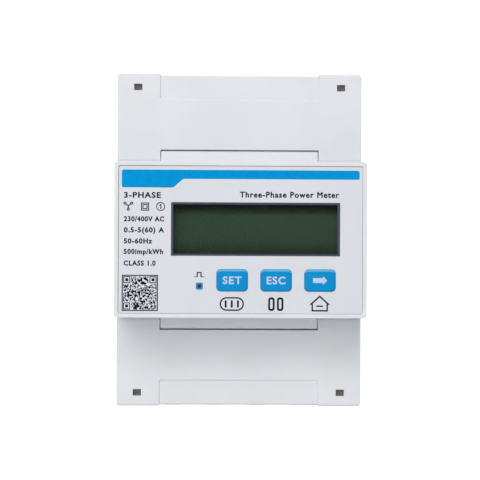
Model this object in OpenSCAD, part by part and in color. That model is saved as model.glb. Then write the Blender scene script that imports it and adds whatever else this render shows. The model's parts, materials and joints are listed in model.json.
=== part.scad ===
// Three-phase electric meter for a 35 mm DIN rail, four modules wide.
// Frame: x to the right, y to the back, z up. The origin is the centre of the
// rail seat, so the front face lies toward -y. All sizes are in millimetres.

/* [Housing] */
// Width of the base across its side walls
body_w = 71.6; // [53.6:0.1:107.6]
// Height of the base across its end walls
body_h = 100; // [90:0.5:110]
// Width of the front frame, four modules of 18
frame_w = 72; // [54:0.5:108]
// Height of the raised front block
front_h = 44.7; // [44:0.1:46]
// Distance from the rail seat to the front frame
front_d = 60; // [56:0.5:64]
// Depth of the rear feet behind the rail seat
foot_d = 5.5; // [5:0.1:7]
// Wall thickness of the mouldings
wall = 2; // [1.6:0.1:2.4]
// Outer corner radius of the mouldings
corner_r = 1.5; // [0.8:0.1:2.5]
// Distance from the rail seat to the parting line
parting_d = 31; // [30:0.5:32]
// Distance from the rail seat to the front of the flange
flange_d = 34.7; // [34:0.1:35]
// Distance from the rail seat to the terminal shoulders
shoulder_d = 40.3; // [40:0.1:41]
// Width of the terminal shoulders
shoulder_w = 67.5; // [66:0.1:68]
// Height across both terminal shoulders
shoulder_h = 93; // [92:0.5:94]

/* [Face] */
// Width of the faceplate
plate_w = 69.6; // [60:0.1:70]
// Height of the faceplate
plate_h = 42.05; // [38:0.05:42.3]
// Height of the faceplate centre above the face centre
plate_z = -0.06; // [-0.3:0.01:0.3]
// Thickness of the faceplate
plate_t = 1.6; // [1:0.1:2]
// How far the faceplate sits behind the frame
plate_inset = 0.4; // [0.2:0.1:0.8]
// Gap round the faceplate
plate_gap = 0.08; // [0.05:0.01:0.3]
// Width of the display window
window_w = 48.2; // [40:0.1:54]
// Height of the display window
window_h = 15.25; // [12:0.05:18]
// Centre of the display window across the face
window_x = 4.26; // [0:0.01:8]
// Centre of the display window up the face
window_z = 2.97; // [0:0.01:6]
// Corner radius of the display window
window_r = 0.2; // [0.1:0.05:1]
// Gap round the window and the keys
face_gap = 0.06; // [0.05:0.01:0.2]
// Width of a key
key_w = 8.9; // [7:0.1:11]
// Height of a key
key_h = 6.3; // [5:0.1:8]
// Corner radius of a key
key_r = 1.2; // [0.5:0.05:2]
// Centre of the first key across the face
key_x = -2.38; // [-6:0.01:2]
// Spacing of the keys
key_pitch = 12.54; // [11:0.01:14]
// Height of the keys above the face centre
key_z = -11.6; // [-14:0.01:-9]
// Travel of a key
key_travel = 0.5; // [0.3:0.1:0.8]
// Centre of the pulse lamp across the face
lamp_x = -11.73; // [-14:0.01:-9]
// Height of the pulse lamp above the face centre
lamp_z = -13.29; // [-16:0.01:-10]

/* [Terminal covers] */
// Distance from the rail seat to the cover face
cover_d = 43; // [42:0.1:44]
// Distance from the face centre to the outer end of a cover
cover_z = 48.7; // [48:0.05:48.9]
// Thickness of a cover
cover_t = 1.8; // [1.4:0.1:2]
// Rounding of the outer edge of a cover
cover_edge_r = 0.7; // [0.3:0.1:1]
// Distance from the rail seat to the rear edge of a cover
cover_back_d = 35; // [34.9:0.1:36]
// Width of the housing tongue between the cover arms
tongue_w = 46; // [40:0.1:50]
// Distance from the face centre to the outer edge of a tongue
tongue_z = 26.1; // [25:0.1:28]
// Width of the finger recess in a cover
recess_w = 46.6; // [30:0.1:50]
// Height of the finger recess in a cover
recess_h = 7.6; // [5:0.1:10]
// Depth of the finger recess in a cover
recess_d = 0.35; // [0.2:0.05:0.6]
// How far the finger recess cuts into the outer end of a cover
recess_cut = 0.55; // [0.2:0.05:1]
// Distance of the seal holes from the middle
seal_x = 29.8; // [26:0.1:32]
// Distance from the face centre to the seal holes
seal_z = 44.8; // [43:0.1:46]

/* [Terminals] */
// Spacing of the line terminals
line_pitch = 12.8; // [12.5:0.1:13.5]
// Centre of the first line terminal
line_x = -25.8; // [-27:0.1:-25]
// Centre of the first signal terminal
signal_x = 22.6; // [22:0.1:24]
// Spacing of the signal terminals
signal_pitch = 5.4; // [5:0.1:6]
// Distance from the face centre to the terminal screws
screw_z = 39; // [38:0.1:40]
// Diameter of a line terminal screw
line_screw_d = 5; // [4:0.1:6]
// Diameter of a signal terminal screw
signal_screw_d = 2.6; // [2:0.1:3]
// Width of a busbar
bar_w = 6; // [5:0.1:7]
// Thickness of a busbar
bar_t = 2; // [1.5:0.1:2.5]
// Distance from the rail seat to the middle of a busbar
bar_d = 24.7; // [24:0.1:25.4]

/* [Rail clip] */
// Height of the rail channel between its edges
rail_h = 35.8; // [35.4:0.1:36.5]
// Width of the clip slider
clip_w = 20; // [16:0.5:24]
// Travel of the clip
clip_travel = 4.5; // [3:0.1:5]

/* [Output] */
// Sub-part to draw

/* [Hidden] */
$fn = 64;
eps = 0.01;
gap = 0.25;
half_w = body_w / 2;
half_h = body_h / 2;
plate_y = -(front_d - plate_inset);
sill_y = plate_y + plate_t;          // front of the wall behind the faceplate
sill_t = 1.4;
block_in_x = half_w - wall;          // inside of the raised block
block_in_z = front_h / 2 - wall;
shoulder_in_x = shoulder_w / 2 - wall;
shoulder_in_z = shoulder_h / 2 - wall;
shoulder_in_y = -(shoulder_d - wall);
draft_end = 1.1;                     // how far the base ends lean in
draft_y = -22;
hinge_r = 1.2;
hinge_y = -(cover_d - hinge_r);
hinge_z = front_h / 2 + gap + hinge_r;
pin_r = 0.7;
arm_x = tongue_w / 2 + 0.2;          // inner side of a cover arm
key_y = -front_d;
key_flange_y = sill_y + sill_t + 0.2;
line_xs = [for (i = [0:3]) line_x + i * line_pitch];
signal_xs = [for (i = [0:1]) signal_x + i * signal_pitch];
key_xs = [for (i = [0:2]) key_x + i * key_pitch];
key_names = ["set", "esc", "next"];
sides = ["top", "bottom"];
board_y = -50.5;                     // front of the display board
board_t = 1.6;
board_w = 66;
board_h = 40;
power_y = -36.5;                     // front of the power board
post_x = 30.5;                       // display board posts
post_z = 17.5;
boss_x = 31;                         // power board bosses
boss_z = 8;
tower_xs = [-19.4, 18.5];            // housing screws, between the busbars
tower_z = 27;
tower_y = -21;
// terminal block
block_y = shoulder_in_y + 0.1;
block_back_y = -13.2;
neck_y = -30.5;
neck_w = 62.8;
block_w = 66.4;
block_z0 = 33;
neck_z1 = 44.2;
block_z1 = 47;
head_y = shoulder_in_y + 0.2;        // front of the screw heads
line_head_r = 3.5;
line_head_t = 2.8;
line_ledge_y = -34;
line_cage_w = 10.5;
line_cage_h = 9;
line_cage_y0 = -28;
line_cage_y1 = -14.7;
line_cage_top = 2;
line_cage_side = 1.5;
line_cage_bottom = 1.8;
line_entry_w = 8.2;
signal_head_r = 2.2;
signal_head_t = 2;
signal_ledge_y = -34.2;
signal_cage_w = 4.3;
signal_cage_h = 5.2;
signal_cage_y0 = -31;
signal_cage_y1 = -24;
signal_cage_top = 1.4;
signal_cage_side = 0.7;
signal_cage_bottom = 1;
signal_entry = 3.4;
signal_entry_y = -26.8;
tab_w = 2.4;
tab_t = 0.6;
tab_y = -29.2;
entry_y0 = -(bar_d - bar_t / 2) - 0.1;
entry_y1 = line_cage_y1 - line_cage_bottom + 0.1;
ct_od = 12.4;
ct_id = 7.2;
ct_len = 10;
// rail clip
clip_y0 = 1.35;
clip_step_y = 3.25;
clip_y1 = 5.2;
clip_neck_w = 14.6;
clip_tip_z = -16;
clip_end_z = -51.5;
spring_z0 = -36;
spring_z1 = -24;
spring_y = 3.2;
spring_r = 1.35;
spring_wire = 0.25;

// ---- shared shapes ----

// Box between two values on each axis
module box(x0, x1, y0, y1, z0, z1)
    translate([x0, y0, z0]) cube([x1 - x0, y1 - y0, z1 - z0]);

// Box centred on x and z
module cbox(x, z, w, h, y0, y1)
    box(x - w / 2, x + w / 2, y0, y1, z - h / 2, z + h / 2);

// Rounded rectangle
module rrect(w, h, r) {
    square([w - 2 * r, h], center = true);
    square([w, h - 2 * r], center = true);
    for (x = [-1, 1], y = [-1, 1])
        translate([x * (w / 2 - r), y * (h / 2 - r)]) circle(r);
}

// Rounded plate facing the front
module slab(w, h, r, y0, y1, x = 0, z = 0)
    translate([x, y1, z]) rotate([90, 0, 0]) linear_extrude(y1 - y0) rrect(w, h, r);

// Cylinders along y and x
module ycyl(r, y0, y1, x, z)
    translate([x, y1, z]) rotate([90, 0, 0]) cylinder(r = r, h = y1 - y0);
module xcyl(r, x0, x1, y, z)
    translate([x0, y, z]) rotate([0, 90, 0]) cylinder(r = r, h = x1 - x0);

// Outline in y and z, carried along x
module side_extrude(x0, x1)
    translate([x0, 0, 0]) rotate([90, 0, 90]) linear_extrude(x1 - x0) children();

module both_sides() {
    children();
    mirror([1, 0, 0]) children();
}
module both_ends() {
    children();
    mirror([0, 0, 1]) children();
}
module at_end(side)
    mirror([0, 0, side == "top" ? 0 : 1]) children();

// ---- housing ----

module base_cavity() {
    floor_y = -2.2;
    foot_floor_y = foot_d - 2.2;
    inner = half_h - wall;
    side_extrude(-block_in_x, block_in_x) polygon([
        [-parting_d - 1, inner - draft_end], [-parting_d, inner - draft_end], [draft_y, inner],
        [foot_floor_y, inner], [foot_floor_y, 20.1], [floor_y, 20.1],
        [floor_y, -20.1], [foot_floor_y, -20.1], [foot_floor_y, -inner],
        [draft_y, -inner], [-parting_d, draft_end - inner], [-parting_d - 1, draft_end - inner]]);
}

module rail_hooks()
    both_sides() side_extrude(10, 30) polygon([
        [1.4, rail_h / 2 + 1], [1.4, 16.6], [1.8, 16.2], [3, 16.2], [3.9, rail_h / 2],
        [3.9, rail_h / 2 + 1]]);

// Wire entries and screw wells in the base end walls and feet
module base_cuts() {
    both_ends() {
        for (x = line_xs) translate([x, (entry_y0 + entry_y1) / 2, half_h - 4])
            linear_extrude(5) rrect(line_entry_w, entry_y1 - entry_y0, 1);
        for (x = signal_xs) translate([x, signal_entry_y, half_h - 4])
            linear_extrude(5) rrect(signal_entry, signal_entry, 0.4);
        for (x = tower_xs) {
            ycyl(3.1, -18, foot_d + 1, x, tower_z);
            ycyl(1.6, tower_y - 1, -17, x, tower_z);
        }
    }
    // snap windows in the side walls
    both_sides() both_ends() box(half_w - wall - 1, half_w + 1, -28, -24.5, 7.8, 16.2);
    // groove for the rail clip
    box(-clip_w / 2 - 0.15, clip_w / 2 + 0.15, clip_y0 - 0.1, clip_step_y + 0.1, -half_h - 1, -17);
    box(-clip_neck_w / 2 - 0.15, clip_neck_w / 2 + 0.15, clip_step_y - 0.5, foot_d + 1,
        -half_h - 1, -17);
}

module base_housing() color("#dcdee2") {
    difference() {
        union() {
            difference() {
                slab(body_w, body_h, corner_r, -parting_d, foot_d);
                base_cavity();
                box(-half_w - 1, half_w + 1, 0, foot_d + 1, -rail_h / 2, rail_h / 2);
                // leaning ends and rear edges
                both_ends() side_extrude(-half_w - 1, half_w + 1) {
                    polygon([[-parting_d - 1, half_h - draft_end * 10 / 9], [draft_y, half_h],
                             [draft_y, half_h + 1], [-parting_d - 1, half_h + 1]]);
                    polygon([[foot_d - 1, half_h], [foot_d, half_h - 1], [foot_d + 1, half_h - 1],
                             [foot_d + 1, half_h + 1], [foot_d - 1, half_h + 1]]);
                }
            }
            rail_hooks();
            // guide for the rail clip
            box(-clip_w / 2 - 2.2, clip_w / 2 + 2.2, -1, foot_d, -half_h + 1, -rail_h / 2);
            both_ends() {
                for (x = tower_xs) ycyl(4.5, tower_y, foot_d - 0.5, x, tower_z);
                // rests for the terminal block
                for (x = [-31, -6.6, 6.2, 31])
                    box(x - 1, x + 1, block_back_y, foot_d - 1, 34, half_h - 1);
            }
            // rests for the current transformers
            for (z = [-3, 3]) box(-block_in_x - 1, 6, -bar_d + ct_od / 2 + 0.1, -1, z - 0.8, z + 0.8);
        }
        base_cuts();
    }
    // stop for the clip and its spring
    box(-1.8, 1.8, clip_y0 - 0.6, 4.8, spring_z0 - 2, spring_z0);
}

module front_shell() {
    slab(frame_w, front_h, 1.06, -front_d, -front_d + 3);
    slab(body_w, front_h - 0.3, 1, -front_d + 2, -flange_d + 1);
    slab(shoulder_w, shoulder_h, 1.2, -shoulder_d, -flange_d + 1);
    slab(body_w, body_h - 2 * draft_end, corner_r, -flange_d, -parting_d);
    both_ends() side_extrude(-tongue_w / 2, tongue_w / 2) polygon([
        [-cover_d, front_h / 2 - 1], [-cover_d, tongue_z - 0.5], [-cover_d + 0.5, tongue_z],
        [-shoulder_d + 1, tongue_z], [-shoulder_d + 1, front_h / 2 - 1]]);
}

module key_opening(x, y0, y1)
    slab(key_w + 2 * face_gap, key_h + 2 * face_gap, key_r + face_gap, y0, y1, x, key_z);

module front_cuts() {
    box(-block_in_x, block_in_x, sill_y + sill_t, -parting_d + 1, -block_in_z, block_in_z);
    box(-shoulder_in_x, shoulder_in_x, shoulder_in_y, -parting_d + 1,
        -shoulder_in_z, shoulder_in_z);
    slab(plate_w + 2 * plate_gap, plate_h + 2 * plate_gap, 0.5 + plate_gap, -front_d - 1, sill_y,
         0, plate_z);
    slab(window_w - 1, window_h - 1, 0.1, sill_y - 1, sill_y + sill_t + 1, window_x, window_z);
    for (x = key_xs)
        key_opening(x, sill_y - 1, sill_y + sill_t + 1);
    cbox(lamp_x, lamp_z, 1.9, 1.9, sill_y - 1, sill_y + sill_t + 1);
    both_ends() {
        for (x = line_xs) ycyl(3.1, -shoulder_d - 1, shoulder_in_y + 1, x, screw_z);
        for (x = signal_xs) ycyl(1.8, -shoulder_d - 1, shoulder_in_y + 1, x, screw_z);
        both_sides() {
            // path of the seal wire
            cbox(seal_x, seal_z, 2.8, 2.3, -shoulder_d - 1, -36.6);
            cbox(seal_x, shoulder_h / 2, 2.8, 6, -38.8, -36.6);
            xcyl(pin_r + 0.08, tongue_w / 2 - 2.2, tongue_w / 2 + 1, hinge_y, hinge_z);
        }
    }
}

module front_fittings() {
    both_sides() {
        both_ends() {
            ycyl(2.5, sill_y + sill_t - 0.4, board_y, post_x, post_z);
            ycyl(3, -47, power_y, boss_x, boss_z);
            box(boss_x, block_in_x + 1, -47, power_y, boss_z - 1.5, boss_z + 1.5);
            // snap tab and its nub
            box(block_in_x - 1.2, block_in_x - 0.2, -parting_d - 1, -23.8, 8.5, 15.5);
            side_nub();
        }
        // strip that carries the snap tabs, joined to the side wall in front of the parting line
        box(block_in_x - 1.2, block_in_x - 0.2, -parting_d - 2.2, -29.6, -20.4, 20.4);
        box(block_in_x - 0.3, block_in_x + 1, -parting_d - 2.2, -parting_d - 0.1, -20.4, 20.4);
    }
    both_ends() for (x = tower_xs) ycyl(2.7, shoulder_in_y - 0.5, tower_y, x, tower_z);
}

module side_nub()
    translate([0, 0, 8.5]) linear_extrude(7) polygon([
        [block_in_x - 0.5, -27.7], [half_w - 0.5, -27.7], [half_w - 0.5, -26.6],
        [block_in_x - 0.2, -24.4], [block_in_x - 0.5, -24.4]]);

module front_housing() color("#dcdee2") difference() {
    union() {
        difference() {
            front_shell();
            front_cuts();
        }
        front_fittings();
    }
    both_ends() {
        both_sides() {
            ycyl(1.2, -55.4, board_y + 1, post_x, post_z);
            ycyl(1.2, -42, power_y + 1, boss_x, boss_z);
        }
        for (x = tower_xs) ycyl(1.5, -34, tower_y + 1, x, tower_z);
    }
}

module faceplate() color("#e4e7ee") difference() {
    slab(plate_w, plate_h, 0.5, plate_y, sill_y, 0, plate_z);
    slab(window_w + 2 * face_gap, window_h + 2 * face_gap, window_r + face_gap, plate_y - 1,
         sill_y + 1, window_x, window_z);
    for (x = key_xs)
        key_opening(x, plate_y - 1, sill_y + 1);
    cbox(lamp_x, lamp_z, 1.2, 1.2, plate_y - 1, sill_y + 1);
}

module display_window() color("#6d7a70", 0.6)
    slab(window_w, window_h, window_r, plate_y, plate_y + 1.2, window_x, window_z);

// ---- display and keys ----

module lcd_panel() color("#4c6650")
    cbox(window_x, window_z, 51.6, 17.6, -56.2, -54);

module lcd_holder() color("#3c3f42") difference() {
    cbox(window_x, window_z, 54, 20, -56, board_y);
    cbox(window_x, window_z, 52, 18, -57, -54);
    cbox(window_x, window_z, 49, 15, -55, board_y - 1);
}

module keycap(x) color("#0091d7") {
    slab(key_w, key_h, key_r, key_y, key_flange_y + 0.4, x, key_z);
    slab(key_w + 1.6, key_h + 1.6, key_r, key_flange_y, key_flange_y + 0.8, x, key_z);
    ycyl(2, key_flange_y + 0.5, -55.1, x, key_z);
}

module switch_plunger(x) color("#26282a")
    ycyl(1.65, -55.1, -52.6, x, key_z);

module tact_switches() color("#8d9196") for (x = key_xs) difference() {
    cbox(x, key_z, 6, 6, -54, board_y);
    ycyl(1.75, -55, -52, x, key_z);
}

module pulse_led() color("#c33a2c")
    cbox(lamp_x, lamp_z, 3, 2, board_y - 1.4, board_y);

module light_pipe() color("#7d2620") {
    cbox(lamp_x, lamp_z, 1, 1, plate_y, sill_y + 0.2);
    cbox(lamp_x, lamp_z, 1.7, 1.7, sill_y + 0.1, board_y - 1.5);
    cbox(lamp_x, lamp_z, 3.4, 3.4, sill_y + sill_t + 0.05, sill_y + sill_t + 0.8);
}

// ---- circuit boards ----

module display_board() color("#2e6b45") difference() {
    cbox(0, 0, board_w, board_h, board_y, board_y + board_t);
    both_sides() both_ends() {
        ycyl(1.3, board_y - 1, board_y + board_t + 1, post_x, post_z);
        cbox(board_w / 2, boss_z, 11, 6.8, board_y - 1, board_y + board_t + 1);
    }
}

module power_board() color("#2e6b45") difference() {
    cbox(0, 0, board_w, board_h, power_y, power_y + board_t);
    both_sides() both_ends()
        ycyl(1.3, power_y - 1, power_y + board_t + 1, boss_x, boss_z);
}

module board_header() color("#222426") {
    for (y = [board_y + board_t, power_y - 2.5]) cbox(-18, -17, 15.4, 2.5, y, y + 2.5);
    for (i = [0:5]) cbox(-24.35 + 2.54 * i, -17, 0.64, 0.64, board_y + board_t + 1, power_y - 1);
}

module transformer() color("#4a4a4e") {
    cbox(-14, 4, 22, 18, power_y - 9.6, power_y - 0.8);
    cbox(-14, 4, 13, 24, power_y - 10.4, power_y);
}

module capacitors() color("#2b3350") {
    for (x = [8, 18]) ycyl(4, power_y - 10, power_y, x, 12);
    ycyl(3.2, power_y - 8, power_y, 13, 2);
}

module varistors() color("#3569a8") for (x = [4, 12, 20]) {
    xcyl(4.5, x - 1.7, x + 1.7, power_y - 5.6, -8);
    for (z = [-10.5, -5.5]) cbox(x, z, 0.8, 0.8, power_y - 4, power_y);
}

module board_ics() color("#1d1f21") {
    cbox(-20, -11.2, 8, 6, power_y - 1.4, power_y);
    cbox(10, -17, 7, 3.6, power_y - 1.8, power_y);
    cbox(20, 4, 10, 10, board_y + board_t, board_y + board_t + 1.4);
}

module current_transformers() color("#3a5fa0") for (i = [0:2])
    translate([line_xs[i], -bar_d, -ct_len / 2]) difference() {
        cylinder(d = ct_od, h = ct_len);
        translate([0, 0, -1]) cylinder(d = ct_id, h = ct_len + 2);
    }

// ---- terminals ----

module busbar(x) color("#c08a52")
    box(x - bar_w / 2, x + bar_w / 2, -bar_d - bar_t / 2, -bar_d + bar_t / 2, -43.2, 43.2);

module line_cell(x) {
    cage_gap = (line_pitch - line_cage_w - 1.8) / 2;
    cbox(x, screw_z, line_cage_w + 2 * cage_gap, line_cage_h + 0.4, line_ledge_y,
         line_cage_y1 + 0.2);
    ycyl(line_head_r + 0.2, block_y - 1, head_y + line_head_t + 0.1, x, screw_z);
    ycyl(line_screw_d / 2 + 0.2, head_y + line_head_t, line_ledge_y + 1, x, screw_z);
    translate([x, (entry_y0 + entry_y1) / 2, screw_z])
        linear_extrude(10) rrect(line_entry_w, entry_y1 - entry_y0, 1);
    box(x - bar_w / 2 - 0.3, x + bar_w / 2 + 0.3, -bar_d - bar_t / 2 - 0.3,
        -bar_d + bar_t / 2 + 0.3, block_z0 - 1, screw_z);
}

module signal_cell(x) {
    cbox(x, screw_z, signal_cage_w + 0.5, signal_cage_h + 0.4, signal_ledge_y,
         signal_cage_y1 + 0.3);
    ycyl(signal_head_r + 0.2, block_y - 1, head_y + signal_head_t + 0.1, x, screw_z);
    ycyl(signal_screw_d / 2 + 0.2, head_y + signal_head_t, signal_ledge_y + 1, x, screw_z);
    translate([x, signal_entry_y, screw_z]) linear_extrude(10)
        rrect(signal_entry, signal_entry, 0.4);
    box(x - tab_w / 2 - 0.2, x + tab_w / 2 + 0.2, tab_y - 0.2, tab_y + tab_t + 0.2,
        block_z0 - 1, screw_z);
}

module terminal_block(side) color("#4b4e52") at_end(side) difference() {
    union() {
        box(-block_w / 2, block_w / 2, neck_y, block_back_y, block_z0, block_z1);
        box(-neck_w / 2, neck_w / 2, block_y, neck_y + 1, block_z0, neck_z1);
    }
    for (x = line_xs) line_cell(x);
    for (x = signal_xs) signal_cell(x);
}

// Screw with a cross slot, its head toward the front
module terminal_screw(side, x, head_r, head_t, shank_r, tip_y, slot) color("#b9bcc0")
    at_end(side) difference() {
        union() {
            ycyl(head_r, head_y, head_y + head_t, x, screw_z);
            ycyl(shank_r, head_y + head_t / 2, tip_y, x, screw_z);
        }
        cbox(x, screw_z, 2 * head_r - slot, slot, head_y - 1, head_y + head_t / 2);
        cbox(x, screw_z, slot, 1.2 * head_r, head_y - 1, head_y + head_t / 2);
    }

module line_screw(side, x)
    terminal_screw(side, x, line_head_r, line_head_t, line_screw_d / 2, -26.2, 1.1);
module signal_screw(side, x)
    terminal_screw(side, x, signal_head_r, signal_head_t, signal_screw_d / 2, -29.5, 0.7);

// Rising cage with a threaded top, open toward the wire entry
module cage(side, x, w, h, y0, y1, top, side_t, bottom, screw_d) color("#c9ccd0")
    at_end(side) difference() {
        cbox(x, screw_z, w, h, y0, y1);
        cbox(x, screw_z, w - 2 * side_t, h + 2, y0 + top, y1 - bottom);
        ycyl(screw_d / 2 + 0.1, y0 - 1, y0 + top + 0.5, x, screw_z);
    }

module line_cage(side, x)
    cage(side, x, line_cage_w, line_cage_h, line_cage_y0, line_cage_y1, line_cage_top,
         line_cage_side, line_cage_bottom, line_screw_d);
module signal_cage(side, x)
    cage(side, x, signal_cage_w, signal_cage_h, signal_cage_y0, signal_cage_y1,
         signal_cage_top, signal_cage_side, signal_cage_bottom, signal_screw_d);

module signal_tabs() color("#c9a24a") both_ends() for (x = signal_xs)
    side_extrude(x - tab_w / 2, x + tab_w / 2) polygon([
        [tab_y, 41], [tab_y, 19.2], [power_y + board_t, 19.2], [power_y + board_t, 18.6],
        [tab_y + tab_t, 18.6], [tab_y + tab_t, 41]]);

// ---- covers ----

module cover_blank() {
    over = 0.7;
    // side skirts, rounded about the hinge
    both_sides() side_extrude(half_w - cover_t, half_w + over) {
        translate([hinge_y, hinge_z]) circle(hinge_r);
        polygon([[hinge_y, hinge_z - hinge_r], [-cover_back_d, hinge_z - hinge_r],
                 [-cover_back_d, cover_z + over], [-cover_d, cover_z + over],
                 [-cover_d, hinge_z], [hinge_y, hinge_z]]);
    }
    // arms beside the tongue
    both_sides() side_extrude(arm_x, half_w - cover_t / 2) {
        translate([hinge_y, hinge_z]) circle(hinge_r);
        polygon([[-cover_d, hinge_z], [-cover_d + cover_t, hinge_z],
                 [-cover_d + cover_t, cover_z], [-cover_d, cover_z]]);
    }
    box(-half_w + 1, half_w - 1, -cover_d, -cover_d + cover_t, tongue_z + 0.3, cover_z);
    box(-half_w - over, half_w + over, -cover_d, -cover_back_d, cover_z - cover_t,
        cover_z + over);
}

module terminal_cover(side) color("#dcdee2") at_end(side) {
    difference() {
        intersection() {
            cover_blank();
            slab(body_w, 2 * cover_z, 0.9, -cover_d - 1, -cover_back_d + 1);
        }
        // finger recess on the face and over the edge
        slab(recess_w, 2 * recess_h, 0.8, -cover_d - 1, -cover_d + recess_d, 0, cover_z);
        cbox(0, cover_z + 1 - recess_cut, recess_w, 2, -cover_d - 1, -cover_back_d - 1);
        side_extrude(-half_w - 1, half_w + 1) difference() {
            translate([-cover_d - 1, cover_z - cover_edge_r])
                square([cover_edge_r + 1, cover_edge_r + 1]);
            translate([-cover_d + cover_edge_r, cover_z - cover_edge_r]) circle(cover_edge_r);
        }
        both_sides() {
            cbox(seal_x, seal_z, 2.4, 1.9, -cover_d - 1, -cover_d + cover_t + 1);
            cbox(seal_x, cover_z, 2.4, 6, -38.7, -36.8);
        }
    }
    both_sides() xcyl(pin_r, tongue_w / 2 - 1.8, arm_x + 0.8, hinge_y, hinge_z);
}

// ---- rail clip ----

module din_clip() color("#9a9ea3") difference() {
    union() {
        side_extrude(-clip_w / 2, clip_w / 2) polygon([
            [clip_y0, -17], [clip_y0 + 0.5, clip_tip_z], [clip_y0 + 1.1, clip_tip_z],
            [clip_step_y, -17.6], [clip_step_y, -47], [clip_y0, -47]]);
        box(-clip_neck_w / 2, clip_neck_w / 2, clip_y0, clip_y1, clip_end_z, -19);
    }
    box(-2.6, 2.6, clip_y0 - 1, clip_y1 + 1, spring_z0 - 2.05, spring_z1);
    box(-3, 3, clip_y0 - 1, clip_y1 + 1, -50.6, -48.6);
}

// Closed ring of points around a helix, for the spring
function coil_frame(t, turns, h) =
    let (a = 360 * turns * t)
    [[spring_r * cos(a), spring_r * sin(a), spring_wire + (h - 2 * spring_wire) * t],
     [cos(a), sin(a), 0]];

module clip_spring() color("#a9adb2") {
    turns = 8;
    steps = 14 * turns;
    around = 6;
    h = spring_z1 - spring_z0;
    pts = [for (i = [0:steps]) let (f = coil_frame(i / steps, turns, h))
           for (k = [0:around - 1]) let (b = 360 * k / around)
           f[0] + spring_wire * (cos(b) * f[1] + sin(b) * [0, 0, 1])];
    quads = [for (i = [0:steps - 1], k = [0:around - 1])
             let (a = i * around + k, b = i * around + (k + 1) % around) [a, b, b + around, a + around]];
    tris = [for (q = quads, t = [0, 1]) t == 0 ? [q[0], q[1], q[2]] : [q[0], q[2], q[3]]];
    last = steps * around;
    caps = concat([for (k = [1:around - 2]) [0, k + 1, k]],
                  [for (k = [1:around - 2]) [last, last + k, last + k + 1]]);
    translate([0, spring_y, spring_z0]) polyhedron(pts, concat(tris, caps));
}

// ---- fasteners ----

module housing_screws() color("#8b8f94") both_ends() for (x = tower_xs) difference() {
    union() {
        ycyl(2.7, -18, -16, x, tower_z);
        ycyl(1.45, -33, -17, x, tower_z);
    }
    cbox(x, tower_z, 3.2, 0.7, -17, -15);
    cbox(x, tower_z, 0.7, 3.2, -17, -15);
}

module board_screw(x, z, y) difference() {
    union() {
        ycyl(2.2, y, y + 1.5, x, z);
        ycyl(1.15, y - 5.5 + 1, y + 0.5, x, z);
    }
    cbox(x, z, 2.6, 0.6, y + 0.8, y + 2);
    cbox(x, z, 0.6, 2.6, y + 0.8, y + 2);
}

module board_screws() color("#b9bcc0") both_sides() both_ends() {
    board_screw(post_x, post_z, board_y + board_t);
    board_screw(boss_x, boss_z, power_y + board_t);
}

// ---- drawing ----

base_housing();
front_housing();
faceplate();
display_window();
lcd_panel();
lcd_holder();
for (i = [0:2]) {
    keycap(key_xs[i]);
    switch_plunger(key_xs[i]);
}
tact_switches();
pulse_led();
light_pipe();
display_board();
board_header();
power_board();
transformer();
capacitors();
varistors();
board_ics();
current_transformers();
busbar(line_xs[0]);  // busbar_1
busbar(line_xs[1]);  // busbar_2
busbar(line_xs[2]);  // busbar_3
busbar(line_xs[3]);  // busbar_n
for (s = sides) {
    terminal_block(s);
    for (i = [0:3]) {
        line_screw(s, line_xs[i]);
        line_cage(s, line_xs[i]);
    }
    for (i = [0:1]) {
        signal_screw(s, signal_xs[i]);
        signal_cage(s, signal_xs[i]);
    }
    terminal_cover(s);
}
signal_tabs();
din_clip();
clip_spring();
housing_screws();
board_screws();
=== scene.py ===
import json
import math
import random

import bmesh
import bpy
from mathutils import Matrix, Vector


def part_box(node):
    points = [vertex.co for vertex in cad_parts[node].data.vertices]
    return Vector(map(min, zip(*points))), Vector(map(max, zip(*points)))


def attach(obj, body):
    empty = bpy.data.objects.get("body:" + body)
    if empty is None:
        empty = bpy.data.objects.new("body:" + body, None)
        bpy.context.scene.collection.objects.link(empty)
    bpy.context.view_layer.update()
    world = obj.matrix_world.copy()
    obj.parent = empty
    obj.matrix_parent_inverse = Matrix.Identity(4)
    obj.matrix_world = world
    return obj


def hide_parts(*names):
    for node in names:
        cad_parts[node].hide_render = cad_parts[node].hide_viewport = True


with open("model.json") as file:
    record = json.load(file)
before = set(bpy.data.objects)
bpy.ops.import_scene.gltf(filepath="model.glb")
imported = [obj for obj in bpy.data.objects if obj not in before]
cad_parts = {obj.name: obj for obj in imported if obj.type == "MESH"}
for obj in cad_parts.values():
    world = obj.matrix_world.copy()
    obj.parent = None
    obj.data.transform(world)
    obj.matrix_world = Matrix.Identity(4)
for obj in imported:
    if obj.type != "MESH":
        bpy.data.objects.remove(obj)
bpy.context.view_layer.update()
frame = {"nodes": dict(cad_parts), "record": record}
MM = 0.001
NODES = frame["nodes"]
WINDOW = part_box("display_window")


# ---------------------------------------------------------------- materials

NOISE_LOW, NOISE_HIGH = 0.35, 0.65      # where most of a noise's values lie


def new_material(name, rgb, rough, metallic=0.0, **sockets):
    """A Principled material with its plain values set on its own sockets."""
    m = bpy.data.materials.new(name)
    m.use_nodes = True
    tree = m.node_tree
    shader = tree.nodes["Principled BSDF"]
    shader.inputs["Base Color"].default_value = (*rgb, 1.0)
    shader.inputs["Roughness"].default_value = rough
    shader.inputs["Metallic"].default_value = metallic
    for key, value in sockets.items():
        shader.inputs[key.replace("_", " ")].default_value = value
    return m, tree, shader


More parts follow.
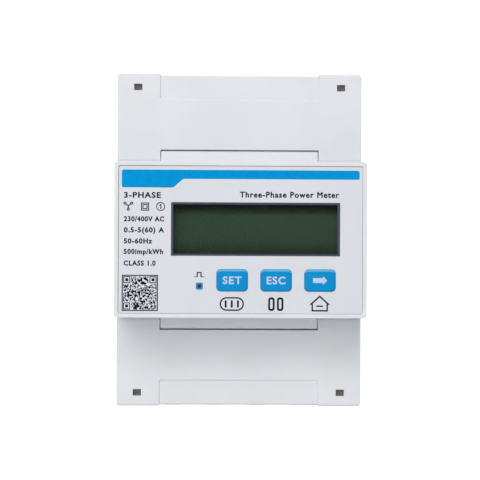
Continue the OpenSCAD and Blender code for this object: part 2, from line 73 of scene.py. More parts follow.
def object_noise(tree, scale, detail, stretch=(1, 1, 1)):
    """Noise in the object's own metres."""
    coord = tree.nodes.new("ShaderNodeTexCoord")
    mapping = tree.nodes.new("ShaderNodeMapping")
    mapping.inputs["Scale"].default_value = stretch
    noise = tree.nodes.new("ShaderNodeTexNoise")
    noise.inputs["Scale"].default_value = scale
    noise.inputs["Detail"].default_value = detail
    tree.links.new(coord.outputs["Object"], mapping.inputs["Vector"])
    tree.links.new(mapping.outputs["Vector"], noise.inputs["Vector"])
    return noise.outputs["Fac"]


def spread(tree, value, low, high, start=NOISE_LOW, end=NOISE_HIGH):
    """Maps a noise, or a value from start to end, onto a range of values."""
    node = tree.nodes.new("ShaderNodeMapRange")
    node.inputs["From Min"].default_value = start
    node.inputs["From Max"].default_value = end
    node.inputs["To Min"].default_value = low
    node.inputs["To Max"].default_value = high
    tree.links.new(value, node.inputs["Value"])
    return node.outputs["Result"]


def along_axis(tree, space, axis):
    """One axis of a kind of texture coordinate."""
    coord = tree.nodes.new("ShaderNodeTexCoord")
    split = tree.nodes.new("ShaderNodeSeparateXYZ")
    tree.links.new(coord.outputs[space], split.inputs["Vector"])
    return split.outputs[axis]


def mix_colours(tree, factor, dark, light):
    node = tree.nodes.new("ShaderNodeMix")
    node.data_type = "RGBA"
    node.inputs["A"].default_value = (*dark, 1.0)
    node.inputs["B"].default_value = (*light, 1.0)
    tree.links.new(factor, node.inputs["Factor"])
    return node.outputs["Result"]


def add_bump(tree, shader, height, strength, distance):
    node = tree.nodes.new("ShaderNodeBump")
    node.inputs["Strength"].default_value = strength
    node.inputs["Distance"].default_value = distance
    tree.links.new(height, node.inputs["Height"])
    tree.links.new(node.outputs["Normal"], shader.inputs["Normal"])


def tinted(rgb, k):
    return tuple(min(1.0, c * k) for c in rgb)


def moulded(name, rgb, rough=0.48, grain=3800, depth=0.02, mottle=0.02, **sockets):
    """Moulded plastic: a fine eroded grain, slight flow mottling, uneven gloss."""
    m, tree, shader = new_material(name, rgb, rough, **sockets)
    cloud = object_noise(tree, 60, 3.0)
    colour = mix_colours(tree, spread(tree, cloud, 0, 1), tinted(rgb, 1 - mottle),
                         tinted(rgb, 1 + mottle))
    tree.links.new(colour, shader.inputs["Base Color"])
    fine = object_noise(tree, grain, 2.0)
    tree.links.new(spread(tree, fine, rough - 0.05, rough + 0.06), shader.inputs["Roughness"])
    add_bump(tree, shader, fine, 0.5, depth * MM)
    return m


PAINTED_HIGHLIGHT_TURN = 0.08, 0.3       # how far a key's face turns up as its painted highlight starts and fills


def key_material(name, rgb, rim):
    """Silicone key: fine grain, and a painted highlight: paler where its upper shoulder turns up
    toward the light.
    """
    m = moulded(name, rgb, 0.42, 4200, 0.008, 0.02, Specular_IOR_Level=0.1)
    tree, shader = m.node_tree, m.node_tree.nodes["Principled BSDF"]
    base = shader.inputs["Base Color"].links[0].from_socket
    # painted highlight: the paler colour is mixed in as the normal turns up
    upturn = along_axis(tree, "Normal", "Z")
    node = tree.nodes.new("ShaderNodeMix")
    node.data_type = "RGBA"
    node.inputs["B"].default_value = (*rim, 1.0)
    tree.links.new(base, node.inputs["A"])
    tree.links.new(spread(tree, upturn, 0, 1, *PAINTED_HIGHLIGHT_TURN), node.inputs["Factor"])
    tree.links.new(node.outputs["Result"], shader.inputs["Base Color"])
    return m


def metal(name, rgb, rough=0.3, along=(1, 1, 12), depth=0.01):
    """Plated or drawn metal: fine lines, cloudy tarnish, uneven gloss."""
    m, tree, shader = new_material(name, rgb, rough, 1.0)
    cloud = object_noise(tree, 350, 4.0)
    colour = mix_colours(tree, spread(tree, cloud, 0, 1), tinted(rgb, 0.82), rgb)
    tree.links.new(colour, shader.inputs["Base Color"])
    lines = object_noise(tree, 2500, 3.0, along)
    tree.links.new(spread(tree, lines, rough - 0.08, rough + 0.14), shader.inputs["Roughness"])
    add_bump(tree, shader, lines, 0.4, depth * MM)
    return m


def printed(name, rgb, rough=0.4, sheen=0.12):
    """Ink: slightly uneven in tone and gloss."""
    m, tree, shader = new_material(name, rgb, rough, Specular_IOR_Level=sheen)
    cloud = object_noise(tree, 900, 3.0)
    colour = mix_colours(tree, spread(tree, cloud, 0, 1), tinted(rgb, 0.95), tinted(rgb, 1.04))
    tree.links.new(colour, shader.inputs["Base Color"])
    tree.links.new(spread(tree, cloud, rough - 0.04, rough + 0.05), shader.inputs["Roughness"])
    return m


def clear_sheet(name, rgb, alpha):
    """A clear sheet, seen by a trace of haze and sheen."""
    m, tree, shader = new_material(name, rgb, 0.08, Alpha=alpha)
    haze = object_noise(tree, 120, 2.0)
    tree.links.new(spread(tree, haze, 0.05, 0.11), shader.inputs["Roughness"])
    return m


LCD_GREEN = (0.0275, 0.0545, 0.030)
# Height up the display, from 0 to 1, and the share of the green there: painted shadow of the
# window's top edge near the top, a little painted shade toward the bottom.
LCD_PAINTED_SHADE = ((0.0, 0.45), (0.07, 0.6), (0.3, 1.0), (0.76, 1.05), (0.85, 0.5), (0.9, 0.27),
              (1.0, 0.22))


def lcd_material(name, top_z, bottom_z):
    """Unlit LCD glass: dark green, with a painted shadow under the top edge and a little painted
    shade toward the bottom.
    """
    m, tree, shader = new_material(name, LCD_GREEN, 0.5, Specular_IOR_Level=0.03)
    # the ramp paints that shadow and shade by height up the display
    ramp = tree.nodes.new("ShaderNodeValToRGB")
    height = spread(tree, along_axis(tree, "Object", "Z"), 0, 1, bottom_z, top_z)
    tree.links.new(height, ramp.inputs["Fac"])
    band = ramp.color_ramp
    while len(band.elements) < len(LCD_PAINTED_SHADE):
        band.elements.new(0.5)
    for element, (at, shade) in zip(band.elements, LCD_PAINTED_SHADE):
        element.position = at
        element.color = (*tinted(LCD_GREEN, shade), 1.0)
    tree.links.new(ramp.outputs["Color"], shader.inputs["Base Color"])
    cloud = object_noise(tree, 90, 2.0)
    tree.links.new(spread(tree, cloud, 0.48, 0.52), shader.inputs["Roughness"])
    return m


def board_material(name):
    """Solder mask with tracks and pads under it."""
    m, tree, shader = new_material(name, (0.02, 0.16, 0.07), 0.35)
    coord = tree.nodes.new("ShaderNodeTexCoord")
    brick = tree.nodes.new("ShaderNodeTexBrick")
    turned = tree.nodes.new("ShaderNodeMapping")
    turned.inputs["Rotation"].default_value = (math.pi / 2, 0, 0)
    tree.links.new(coord.outputs["Object"], turned.inputs["Vector"])
    tree.links.new(turned.outputs["Vector"], brick.inputs["Vector"])
    brick.inputs["Scale"].default_value = 320
    brick.inputs["Mortar Size"].default_value = 0.012
    brick.inputs["Color1"].default_value = (0.015, 0.13, 0.05, 1)
    brick.inputs["Color2"].default_value = (0.02, 0.18, 0.075, 1)
    brick.inputs["Mortar"].default_value = (0.07, 0.30, 0.12, 1)
    tree.links.new(brick.outputs["Color"], shader.inputs["Base Color"])
    add_bump(tree, shader, brick.outputs["Fac"], 0.3, 0.02 * MM)
    return m


SHELL = (0.735, 0.748, 0.775)
MATERIALS = {
    "housing_plastic": moulded("housing_plastic", SHELL, 0.46),
    "face_label": moulded("face_label", (0.69, 0.705, 0.745), 0.42, 5200, 0.008, 0.01),
    "window_clear": clear_sheet("window_clear", (0.3, 0.36, 0.31), 0.01),
    "lcd_glass": lcd_material("lcd_glass", WINDOW[1].z, WINDOW[0].z),
    "black_plastic": moulded("black_plastic", (0.022, 0.022, 0.024), 0.5),
    # the keys' last colour is their painted highlight on the upper shoulder
    "key_blue": key_material("key_blue", (0.0, 0.27, 0.612), (0.115, 0.43, 0.71)),
    "switch_metal": metal("switch_metal", (0.62, 0.63, 0.64), 0.34),
    "lamp_red": moulded("lamp_red", (0.16, 0.004, 0.003), 0.3, 3000, 0.004, 0.10,
                        Specular_IOR_Level=0.2),
    "board_green": board_material("board_green"),
    "capacitor_sleeve": moulded("capacitor_sleeve", (0.02, 0.03, 0.09), 0.3),
    "varistor_coat": moulded("varistor_coat", (0.03, 0.14, 0.42), 0.25, 1500, 0.05),
    "ct_case": moulded("ct_case", (0.03, 0.09, 0.30), 0.45),
    "copper": metal("copper", (0.82, 0.43, 0.26), 0.30, (1, 1, 0.1)),
    "block_plastic": moulded("block_plastic", (0.045, 0.047, 0.052), 0.5),
    "steel_zinc": metal("steel_zinc", (0.66, 0.67, 0.66), 0.34),
    "clip_plastic": moulded("clip_plastic", (0.27, 0.275, 0.285), 0.45),
    "spring_steel": metal("spring_steel", (0.55, 0.56, 0.58), 0.28),
    "screw_nickel": metal("screw_nickel", (0.72, 0.70, 0.66), 0.26, (1, 8, 1)),
    "cage_steel": metal("cage_steel", (0.64, 0.66, 0.68), 0.36, (1, 1, 0.15)),
}
INK = printed("ink_black", (0.010, 0.010, 0.014))
INK_BLUE = printed("ink_blue", (0.0, 0.292, 0.655), 0.45, 0.03)
INK_WHITE = printed("ink_white", (0.76, 0.79, 0.84))
INK_KEY = printed("ink_key", (0.545, 0.62, 0.745), 0.45, 0.03)
INK_FRAME = printed("ink_frame", (0.066, 0.076, 0.122))
INK_GREY = printed("ink_grey", (0.16, 0.165, 0.175), 0.45)
GUIDE = moulded("guide_brown", (0.34, 0.28, 0.24), 0.55)


# ---------------------------------------------------------------- CAD nodes

SAME_POINT, SLIVER = 0.002, 0.04        # points this near are one, before and after rounding, mm
FLAT_ANGLE, SHARP_ANGLE = 0.5, 50       # a flat face's inner edges and a sharp edge, degrees
SOFT_NODES = {"front_housing": 0.16, "terminal_cover_top": 0.16, "terminal_cover_bottom": 0.16,
              "din_clip": 0.2}          # width of the rounding, mm


def soften(node, width):
    """Rounds the sharp edges of a moulding, over the CAD mesh."""
    stack = NODES[node].modifiers
    weld = stack.new("weld", "WELD")
    weld.merge_threshold = SAME_POINT * MM
    flat = stack.new("flat", "DECIMATE")
    flat.decimate_type = "DISSOLVE"
    flat.angle_limit = math.radians(FLAT_ANGLE)
    bevel = stack.new("bevel", "BEVEL")
    bevel.width = width * MM
    bevel.segments = 3
    bevel.limit_method = "ANGLE"
    bevel.angle_limit = math.radians(SHARP_ANGLE)
    bevel.use_clamp_overlap = False
    clean = stack.new("clean", "WELD")
    clean.merge_threshold = SLIVER * MM
    cut = stack.new("cut", "TRIANGULATE")
    cut.ngon_method = "BEAUTY"
    cut.min_vertices = 5
    even = stack.new("even", "WEIGHTED_NORMAL")
    even.weight = 100


def dress():
    slots = {s["node"]: s["material_slot"] for s in frame["record"]["subparts"]}
    for node, obj in NODES.items():
        obj.data.materials.clear()
        obj.data.materials.append(MATERIALS[slots[node]])


dress()
for node, width in SOFT_NODES.items():
    soften(node, width)


# ---------------------------------------------------------------- flat shapes

SINK = 0.01             # how deep a print reaches into the face behind it, mm
FONT_CAP = 0.682        # height of a capital of the built-in font at size 1
TEXT_DEPTH = 0.1        # half a letter's depth before it is pressed flat


def arc(cx, cz, r, a0, a1, n):
    return [(cx + r * math.cos(a0 + (a1 - a0) * i / n), cz + r * math.sin(a0 + (a1 - a0) * i / n))
            for i in range(n + 1)]


def circle(cx, cz, r, n=40):
    return arc(cx, cz, r, 0, 2 * math.pi * (1 - 1 / n), n - 1)


def rounded(points, radii, n=6):
    """A closed outline with its corners rounded; radii is one value or one per corner."""
    if not isinstance(radii, (list, tuple)):
        radii = [radii] * len(points)
    out = []
    for i, r in enumerate(radii):
        p = Vector(points[i])
        before, after = Vector(points[i - 1]), Vector(points[(i + 1) % len(points)])
        u, v = (before - p).normalized(), (after - p).normalized()
        half = u.angle(v) / 2
        if r <= 0:
            out.append(tuple(p))
            continue
        centre = p + (u + v).normalized() * (r / math.sin(half))
        start, end = p + u * (r / math.tan(half)), p + v * (r / math.tan(half))
        a0, a1 = (math.atan2(*reversed((q - centre)[:])) for q in (start, end))
        turn = (a1 - a0 + math.pi) % (2 * math.pi) - math.pi
        out += arc(centre.x, centre.y, r, a0, a0 + turn, n)
    return out


def box_outline(cx, cz, w, h, r=0.0, n=6):
    pts = [(cx - w / 2, cz - h / 2), (cx + w / 2, cz - h / 2), (cx + w / 2, cz + h / 2),
           (cx - w / 2, cz + h / 2)]
    return rounded(pts, r, n) if r else pts


def from_curve(curve, name, place):
    """The mesh of a filled curve, put in place."""
    tmp = bpy.data.objects.new(name + "_tmp", curve)
    bpy.context.scene.collection.objects.link(tmp)
    bpy.context.view_layer.update()
    dg = bpy.context.evaluated_depsgraph_get()
    mesh = bpy.data.meshes.new_from_object(tmp.evaluated_get(dg), depsgraph=dg)
    bpy.data.objects.remove(tmp)
    bpy.data.curves.remove(curve)
    mesh.transform(place)
    return mesh


def add_piece(name, mesh, material, body):
    mesh.name = name
    mesh.materials.clear()
    mesh.materials.append(material)
    obj = bpy.data.objects.new(name, mesh)
    bpy.context.scene.collection.objects.link(obj)
    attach(obj, body)
    return obj


def facing_front(y):
    """From the drawing plane, in millimetres, to the plane y, facing -Y."""
    turn = Matrix.Rotation(math.pi / 2, 4, "X")
    return Matrix.Translation((0, y, 0)) @ turn @ Matrix.Scale(MM, 4)


def flat_mesh(name, outlines, y, thick):
    """Filled outlines in x and z (holes inside), standing proud of the plane y by thick."""
    curve = bpy.data.curves.new(name, "CURVE")
    curve.dimensions = "2D"
    curve.fill_mode = "BOTH"
    curve.extrude = (thick + SINK) / 2
    for points in outlines:
        spline = curve.splines.new("POLY")
        spline.points.add(len(points) - 1)
        for target, (x, z) in zip(spline.points, points):
            target.co = (x, z, 0, 1)
        spline.use_cyclic_u = True
    return from_curve(curve, name, facing_front(y - (thick - SINK) / 2 * MM))


def flat(name, outlines, y, thick, material, slot, body="housing"):
    return add_piece(name, flat_mesh(name, outlines, y, thick), material, body)


def text_mesh(text, cap, y, thick, left=None, middle=None, base=0.0, width=None, bold=0.0,
              spacing=1.0):
    """Lettering with capitals of a given height. bold widens each stroke by that much a side."""
    curve = bpy.data.curves.new("text", "FONT")
    curve.body = text
    curve.size = (cap - 2 * bold) / FONT_CAP
    curve.space_character = spacing
    curve.extrude = TEXT_DEPTH
    curve.bevel_depth = bold
    curve.bevel_resolution = 0
    curve.resolution_u = 4
    mesh = from_curve(curve, "text", Matrix.Identity(4))
    xs = [v.co.x for v in mesh.vertices]
    stretch = width / (max(xs) - min(xs)) if width else 1.0
    squeeze = (thick + SINK) / 2 / (TEXT_DEPTH + bold)
    start = left if left is not None else middle - (max(xs) - min(xs)) * stretch / 2
    mesh.transform(Matrix.Translation((start, base + bold, 0))
                   @ Matrix.Diagonal((stretch, 1, squeeze, 1))
                   @ Matrix.Translation((-min(xs), 0, 0)))
    mesh.transform(facing_front(y - (thick - SINK) / 2 * MM))
    return mesh


def join_meshes(name, meshes):
    bm = bmesh.new()
    for mesh in meshes:
        bm.from_mesh(mesh)
        bpy.data.meshes.remove(mesh)
    out = bpy.data.meshes.new(name)
    bm.to_mesh(out)
    bm.free()
    return out


# ---------------------------------------------------------------- printed face

FACE_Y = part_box("faceplate")[0].y
PRINT = 0.02                            # thickness of ink on the faceplate, mm
BANNER_SIDE, BANNER_TOP = 33.94, 19.84  # from the middle of the face, as all places here
BANNER_LOW, BANNER_STEP = 14.77, 17.26  # its lower edge at the left and along the rest
BANNER_SLOPE = -19.26, -16.45           # where the step starts and ends
BANNER_CORNERS = [0.45, 0.9, 0.6, 0.45, 0.8, 0.6]
LIST_LEFT, LIST_CAP = -33.3, 1.48       # the ratings' left edge and capitals
LETTER_BOLD, LETTER_GAP = 0.08, 1.16


def face_print():
    banner = [(-BANNER_SIDE, BANNER_LOW), (BANNER_SLOPE[0], BANNER_LOW),
              (BANNER_SLOPE[1], BANNER_STEP), (BANNER_SIDE, BANNER_STEP),
              (BANNER_SIDE, BANNER_TOP), (-BANNER_SIDE, BANNER_TOP)]
    flat("face_banner", [rounded(banner, BANNER_CORNERS)], FACE_Y, PRINT, INK_BLUE, "face_label")
    words = [       # text, height of a capital, left, base, width
        ("3-PHASE", 1.68, LIST_LEFT, 11.76, 10.5),
        ("230/400V AC", LIST_CAP, LIST_LEFT, 5.06, 11.5),
        ("0.5-5(60) A", LIST_CAP, LIST_LEFT, 1.92, 11.5),
        ("50-60Hz", LIST_CAP, LIST_LEFT, -1.24, 8.1),
        ("500imp/kWh", LIST_CAP, LIST_LEFT, -4.24, 11.2),
        ("CLASS 1.0", LIST_CAP, LIST_LEFT, -7.54, 9.1),
        ("Three-Phase Power Meter", 1.72, -0.3, 12.0, 28.4),
    ]
    meshes = [text_mesh(t, cap, FACE_Y, PRINT, left=x, base=z, width=w, bold=LETTER_BOLD,
                        spacing=LETTER_GAP) for t, cap, x, z, w in words]
    meshes += symbols()
    meshes += marks()
    add_piece("face_lettering", join_meshes("face_lettering", meshes), INK, "housing")


def bar(x0, z0, x1, z1, w):
    """A straight stroke."""
    a, b = Vector((x0, z0)), Vector((x1, z1))
    side = (b - a).normalized().orthogonal() * (w / 2)
    return [tuple(a + side), tuple(b + side), tuple(b - side), tuple(a - side)]


STAR_CENTRE = -32.05, 9.46
STAR_TIPS = (-33.0, 10.26), (-31.1, 10.26), (-32.05, 8.52)
STAR_RING, STAR_HOLE, STAR_ARM = 0.44, 0.15, 0.3
SQUARE_AT, RINGED_ONE_AT, PULSE_AT = (-27.3, 9.3), (-22.85, 9.33), (-11.8, -10.72)
SQUARES = (2.3, 1.76), (1.4, 0.88)      # outer and inner side of each square's line


def symbols():
    """Plain circuit symbols: a star of three rings, a double square, a ringed one, a pulse."""
    out = []

    def shape(*outlines):
        out.append(flat_mesh("symbol", outlines, FACE_Y, PRINT))

    centre = Vector(STAR_CENTRE)
    for cx, cz in STAR_TIPS:
        shape(circle(cx, cz, STAR_RING), circle(cx, cz, STAR_HOLE))
        tip = Vector((cx, cz))
        near = tip + (centre - tip).normalized() * 0.38
        shape(bar(near.x, near.y, centre.x, centre.y, STAR_ARM))
    for sides in SQUARES:
        shape(*(box_outline(*SQUARE_AT, side, side) for side in sides))
    x, z = RINGED_ONE_AT
    shape(circle(x, z, 1.27), circle(x, z, 1.02))
    shape([(x - 0.08, z - 0.72), (x + 0.2, z - 0.72), (x + 0.2, z + 0.75), (x - 0.02, z + 0.75),
           (x - 0.4, z + 0.45), (x - 0.4, z + 0.2), (x - 0.08, z + 0.38)])
    x, z = PULSE_AT
    shape([(x - 1.42, z), (x - 0.38, z), (x - 0.38, z + 1.14), (x + 0.38, z + 1.14), (x + 0.38, z),
           (x + 1.42, z), (x + 1.42, z + 0.19), (x + 0.71, z + 0.19), (x + 0.71, z + 1.44),
           (x - 0.71, z + 1.44), (x - 0.71, z + 0.19), (x - 1.42, z + 0.19)])
    return out


MARK_X, MARK_Z, MARK_H = -2.45, -18.35, 3.9     # the first mark's place and height
BAR_GAP = 1.75
FRAMES_X = 8.85, 11.35
HOUSE_AT = 22.65, -20.4
HOUSE_WALL, HOUSE_HALF, HOUSE_EAVES, HOUSE_TOP, HOUSE_LINE = 2.35, 3.0, 1.9, 4.6, 0.42


def marks():
    """Bars in a rounded outline, two rounded frames, a house: marks that stand for nothing."""
    out = []

    def shape(*outlines):
        out.append(flat_mesh("mark", outlines, FACE_Y, PRINT))

    shape(box_outline(MARK_X, MARK_Z, 6.9, MARK_H, 1.9),
          box_outline(MARK_X, MARK_Z, 6.1, MARK_H - 0.8, 1.5))
    for i in (-1, 0, 1):
        shape(box_outline(MARK_X + i * BAR_GAP, MARK_Z, 0.55, 2.1, 0.2))
    for x in FRAMES_X:
        shape(box_outline(x, MARK_Z, 1.85, MARK_H, 0.8),
              box_outline(x, MARK_Z, 0.75, MARK_H - 1.2, 0.3))
    x, z = HOUSE_AT
    wall, inside = HOUSE_WALL, HOUSE_WALL - HOUSE_LINE
    roof = [(x - wall, z), (x + wall, z), (x + wall, z + HOUSE_EAVES),
            (x + HOUSE_HALF, z + HOUSE_EAVES), (x, z + HOUSE_TOP),
            (x - HOUSE_HALF, z + HOUSE_EAVES), (x - wall, z + HOUSE_EAVES)]
    room = [(x - inside, z + HOUSE_LINE), (x + inside, z + HOUSE_LINE), (x + inside, z + 2.28),
            (x, z + 4.0), (x - inside, z + 2.28)]
    shape(roof, room)
    shape(box_outline(x, z + 1.5, 1.9, 0.4))
    return out


CODE_X, CODE_Z, CODE_SIZE = -33.8, -20.43, 10.28    # lower left corner and side
CODE_EDGE, CODE_LINE = 0.4, 0.3                     # quiet edge, with the border's line in it
CODE_CELLS, CODE_CORNER, CODE_FILL = 33, 7, 0.55    # cells a side, in a corner, share of dark


def code_block():
    """A block of random cells in a thin border. It encodes nothing."""
    rng = random.Random(7)
    count, corner = CODE_CELLS, CODE_CORNER
    cell = (CODE_SIZE - 2 * CODE_EDGE) / count
    dark = [[rng.random() < CODE_FILL for _ in range(count)] for _ in range(count)]
    for cx, cz in ((0, 0), (0, count - corner), (count - corner, count - corner)):
        for i in range(-1, corner + 1):
            for j in range(-1, corner + 1):
                ring = max(abs(i - corner // 2), abs(j - corner // 2))
                if 0 <= cx + i < count and 0 <= cz + j < count:
                    dark[cx + i][cz + j] = ring not in (2, 4)
    bm = bmesh.new()

    def tile(xa, za, xb, zb):
        vs = [bm.verts.new((x * MM, FACE_Y - PRINT * MM, z * MM))
              for x, z in ((xa, za), (xb, za), (xb, zb), (xa, zb))]
        grown = bmesh.ops.extrude_face_region(bm, geom=[bm.faces.new(vs)])
        bmesh.ops.translate(bm, vec=(0, (PRINT + SINK) * MM, 0),
                            verts=[v for v in grown["geom"] if isinstance(v, bmesh.types.BMVert)])

    left, low = CODE_X + CODE_EDGE, CODE_Z + CODE_EDGE
    for i in range(count):
        j = 0
        while j < count:
            run = j
            while run < count and dark[i][run]:
                run += 1
            if run > j:
                tile(left + i * cell, low + j * cell, left + (i + 1) * cell, low + run * cell)
            j = max(run, j + 1)
    bmesh.ops.recalc_face_normals(bm, faces=bm.faces)
    mesh = bpy.data.meshes.new("code_cells")
    bm.to_mesh(mesh)
    bm.free()
    add_piece("face_code_cells", mesh, INK, "housing")
    middle = CODE_X + CODE_SIZE / 2, CODE_Z + CODE_SIZE / 2
    outer = box_outline(*middle, CODE_SIZE, CODE_SIZE)
    inner = box_outline(*middle, CODE_SIZE - 2 * CODE_LINE, CODE_SIZE - 2 * CODE_LINE)
    flat("face_code_border", [outer, inner], FACE_Y, PRINT, INK, "face_label")
    flat("face_code_ground", [outer], FACE_Y, PRINT / 2, INK_WHITE, "face_label")


BORDER_LEFT, BORDER_RIGHT, BORDER_ENDS = 0.59, 0.71, 0.56   # widths of the window's border
THICK_PRINT = 0.03                      # thickness of the lamp's ring and the keys' legends
RING_SIDE, RING_HOLE = 2.04, 1.06


def middle_of(box):
    """The middle of a node's box in x and z, in millimetres."""
    lo, hi = box
    return (lo.x + hi.x) / 2 / MM, (lo.z + hi.z) / 2 / MM


def window_border():
    lo, hi = WINDOW
    cx, cz = middle_of(WINDOW)
    w, h = (hi.x - lo.x) / MM, (hi.z - lo.z) / MM
    inner = box_outline(cx + (BORDER_LEFT - BORDER_RIGHT) / 2, cz,
                        w - BORDER_LEFT - BORDER_RIGHT, h - 2 * BORDER_ENDS, 0.05)
    flat("window_border", [box_outline(cx, cz, w - 0.02, h - 0.02, 0.15), inner],
         lo.y, PRINT, INK_FRAME, "window_clear")


def lamp_ring():
    middle = middle_of(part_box("light_pipe"))
    flat("lamp_ring", [box_outline(*middle, RING_SIDE, RING_SIDE, 0.45),
                       box_outline(*middle, RING_HOLE, RING_HOLE, 0.1)],
         FACE_Y, THICK_PRINT, INK_BLUE, "face_label")


KEYS = "set", "esc", "next"
KEY_R = 1.2                             # corner radius of a key
KEY_SOFT, KEY_DROP = 0.75, 0.5          # width and depth of its soft shoulder
FLANGE, FLANGE_BACK = 0.8, 1.3          # its flange, and from there to the end of the post
POST_R, POST_LONG = 2.0, 0.6


def key_cap(name):
    """A key with a soft shoulder round its top, its flange and its post."""
    lo, hi = (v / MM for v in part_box(f"key_{name}"))
    cx, cz = (lo.x + hi.x) / 2, (lo.z + hi.z) / 2
    flange_y = hi.y - FLANGE_BACK
    w, h = hi.x - lo.x - 2 * FLANGE, hi.z - lo.z - 2 * FLANGE
    bm = bmesh.new()

    def loop(grow, y, r):
        return [bm.verts.new((x * MM, y * MM, z * MM))
                for x, z in box_outline(cx, cz, w + 2 * grow, h + 2 * grow, r, 10)]

    def skin(loops):
        for a, b in zip(loops, loops[1:]):
            for i in range(len(a)):
                j = (i + 1) % len(a)
                bm.faces.new((a[i], a[j], b[j], b[i]))

    rounding = [loop(-KEY_SOFT * (1 - math.sin(t)), lo.y + KEY_DROP * (1 - math.cos(t)),
                     KEY_R - KEY_SOFT * (1 - math.sin(t)))
                for t in (math.pi / 2 * k / 8 for k in range(9))]
    bm.faces.new(rounding[0])
    rim = [loop(0, flange_y, KEY_R), loop(FLANGE, flange_y, KEY_R),
           loop(FLANGE, flange_y + FLANGE, KEY_R)]
    skin(rounding + rim)
    bm.faces.new(rim[-1][::-1])
    post = bmesh.ops.create_cone(bm, segments=32, radius1=POST_R * MM, radius2=POST_R * MM,
                                 depth=POST_LONG * MM, cap_ends=True)
    bmesh.ops.transform(bm, verts=post["verts"], matrix=Matrix.Translation(
        (cx * MM, (hi.y - POST_LONG / 2) * MM, cz * MM)) @ Matrix.Rotation(math.pi / 2, 4, "X"))
    bmesh.ops.recalc_face_normals(bm, faces=bm.faces)
    mesh = bpy.data.meshes.new(f"keycap_{name}")
    bm.to_mesh(mesh)
    bm.free()
    mesh.shade_smooth()
    mesh.set_sharp_from_angle(angle=math.radians(40))
    cap = add_piece(f"keycap_{name}", mesh, MATERIALS["key_blue"], f"key_{name}_body")
    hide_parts(f"key_{name}")


LEGEND_CAP, LEGEND_WIDTH = 2.2, 5.4
ARROW_END, ARROW_NECK, ARROW_TIP = -2.0, 0.84, 2.02     # along the arrow
ARROW_SHAFT, ARROW_HEAD, ARROW_RISE = 0.69, 1.25, 0.04  # half widths, and above the middle


def key_legends():
    arrow = [(ARROW_END, -ARROW_SHAFT), (ARROW_NECK, -ARROW_SHAFT), (ARROW_NECK, -ARROW_HEAD),
             (ARROW_TIP, 0), (ARROW_NECK, ARROW_HEAD), (ARROW_NECK, ARROW_SHAFT),
             (ARROW_END, ARROW_SHAFT)]
    for name in KEYS:
        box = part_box(f"key_{name}")
        cx, cz = middle_of(box)
        body = f"key_{name}_body"
        if name == "next":
            flat("legend_next", [[(cx + x, cz + ARROW_RISE + z) for x, z in arrow]], box[0].y,
                 THICK_PRINT, INK_KEY, "key_blue", body)
        else:
            mesh = text_mesh(name.upper(), LEGEND_CAP, box[0].y, THICK_PRINT, middle=cx,
                             base=cz - LEGEND_CAP / 2, width=LEGEND_WIDTH, bold=0.085,
                             spacing=1.15)
            add_piece(f"legend_{name}", mesh, INK_KEY, body)


face_print()
code_block()
window_border()
lamp_ring()
for key in KEYS:
    key_cap(key)
key_legends()


# ---------------------------------------------------------------- seals and numbers

SEAL_X, SEAL_Z, SEAL_Y = 29.8, 44.8, -0.0400        # a seal hole's middle; its floor, in metres
SEAL_W, SEAL_H, GUIDE_THICK = 2.76, 2.26, 0.6
SHOULDER_Y = -0.0403                                # the shoulders' front, in metres
LINE_X, LINE_PITCH, SIGNAL_X = -25.8, 12.8, (22.6, 28.0)
NUMBER_CAP, NUMBER_THICK, NUMBER_BASE = 1.9, 0.15, 0.9
NUMBER_Z = 33.2
NUMBERS = {1: ("1", "4", "7", "10", "21", "22"), -1: ("3", "6", "9", "11", "24", "25")}


def seal_guides():
    for side, sx in (("left", -1), ("right", 1)):
        for end, sz in (("bottom", -1), ("top", 1)):
            flat(f"seal_guide_{end}_{side}",
                 [box_outline(sx * SEAL_X, sz * SEAL_Z, SEAL_W, SEAL_H, 0.1)],
                 SEAL_Y, GUIDE_THICK, GUIDE, "block_plastic")


def terminal_numbers():
    """Numbers moulded beside the terminal holes on the shoulders."""
    xs = [LINE_X + LINE_PITCH * i for i in range(4)] + list(SIGNAL_X)
    for sign, labels in NUMBERS.items():
        meshes = [text_mesh(t, NUMBER_CAP, SHOULDER_Y, NUMBER_THICK, middle=x,
                            base=sign * NUMBER_Z - NUMBER_BASE, bold=0.02)
                  for x, t in zip(xs, labels)]
        end = "top" if sign > 0 else "bottom"
        add_piece(f"terminal_numbers_{end}", join_meshes("numbers", meshes), INK_GREY,
                  "housing")


seal_guides()
terminal_numbers()


# ---------------------------------------------------------------- stage

FLOOR_Z, BACKDROP_Y = -0.30, 1.6
BACKDROP_GLOW = 1.15


def stage():
    bpy.ops.mesh.primitive_plane_add(size=12, location=(0, 0, FLOOR_Z))
    floor = bpy.context.object
    floor.name = "floor"
    m, tree, shader = new_material("floor_pale", (0.85, 0.85, 0.85), 0.7)
    cloud = object_noise(tree, 2.0, 3.0)
    tree.links.new(mix_colours(tree, cloud, (0.84, 0.84, 0.84), (0.87, 0.87, 0.87)),
                   shader.inputs["Base Color"])
    floor.data.materials.append(m)
    bpy.ops.mesh.primitive_plane_add(size=1.1, location=(0, BACKDROP_Y, 0),
                                     rotation=(math.pi / 2, 0, 0))
    backdrop = bpy.context.object
    backdrop.name = "backdrop"
    m = bpy.data.materials.new("backdrop_white")
    m.use_nodes = True
    m.node_tree.nodes.clear()
    glow = m.node_tree.nodes.new("ShaderNodeEmission")
    glow.inputs["Strength"].default_value = BACKDROP_GLOW
    out = m.node_tree.nodes.new("ShaderNodeOutputMaterial")
    m.node_tree.links.new(glow.outputs["Emission"], out.inputs["Surface"])
    backdrop.data.materials.append(m)


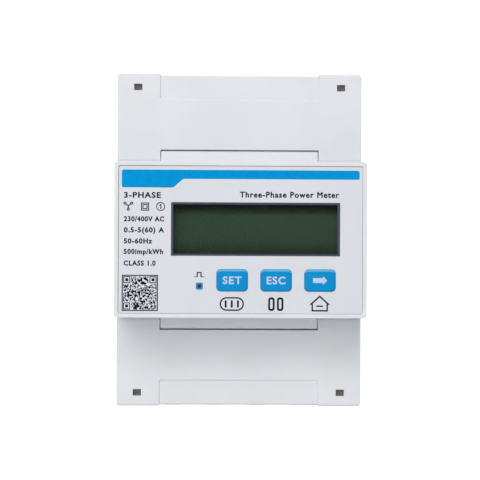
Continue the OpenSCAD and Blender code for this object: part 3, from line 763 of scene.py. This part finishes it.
WORLD_TINT = (0.97, 0.98, 1.0, 1)
WORLD_DIM, WORLD_FULL = 0.03, 0.51          # strength behind the camera and all round
WORLD_RISE = -0.97, -0.74                   # the direction's y as it goes from dim to full
LIGHT_AIM = 0, -0.05, 0
LIGHTS = {                                  # place, width and height, watts
    "key": ((-0.3, -1.1, 0.5), (1.2, 0.9), 7.2),
    "high": ((-0.3, -0.95, 0.8), (1.0, 0.4), 2.9),
    "overhead": ((0, -0.15, 1.0), (0.8, 0.15), 0.9),
}


def area_light(name, at, size, watts):
    light = bpy.data.lights.new(name, "AREA")
    light.shape = "RECTANGLE"
    light.size, light.size_y = size
    light.energy = watts
    obj = bpy.data.objects.new(name, light)
    bpy.context.scene.collection.objects.link(obj)
    obj.location = at
    obj.rotation_mode = "QUATERNION"
    obj.rotation_quaternion = (Vector(LIGHT_AIM) - Vector(at)).to_track_quat("-Z", "Y")


def lights():
    world = bpy.data.worlds.new("studio")
    world.use_nodes = True
    tree = world.node_tree
    ground = tree.nodes["Background"]
    ground.inputs["Color"].default_value = WORLD_TINT
    tree.links.new(spread(tree, along_axis(tree, "Generated", "Y"), WORLD_DIM, WORLD_FULL,
                          *WORLD_RISE), ground.inputs["Strength"])
    bpy.context.scene.world = world
    for name, (at, size, watts) in LIGHTS.items():
        area_light(name, at, size, watts)


CAMERA_AT, CAMERA_AIM = (-0.0146, -0.620, -0.0036), (-0.0002, -0.060, -0.0001)
CAMERA_LENS, CAMERA_ROLL = 147.45, 0.26     # millimetres, degrees


def camera():
    data = bpy.data.cameras.new("camera")
    data.lens = CAMERA_LENS
    data.sensor_width = 36
    obj = bpy.data.objects.new("camera", data)
    bpy.context.scene.collection.objects.link(obj)
    at, aim = Vector(CAMERA_AT), Vector(CAMERA_AIM)
    obj.location = at
    obj.rotation_mode = "QUATERNION"
    roll = Matrix.Rotation(math.radians(CAMERA_ROLL), 4, "Z")
    obj.rotation_quaternion = ((aim - at).to_track_quat("-Z", "Y").to_matrix().to_4x4()
                               @ roll).to_quaternion()
    data.clip_start, data.clip_end = 0.01, 20
    bpy.context.scene.camera = obj


stage()
lights()
camera()
bpy.context.scene.view_settings.view_transform = "Standard"
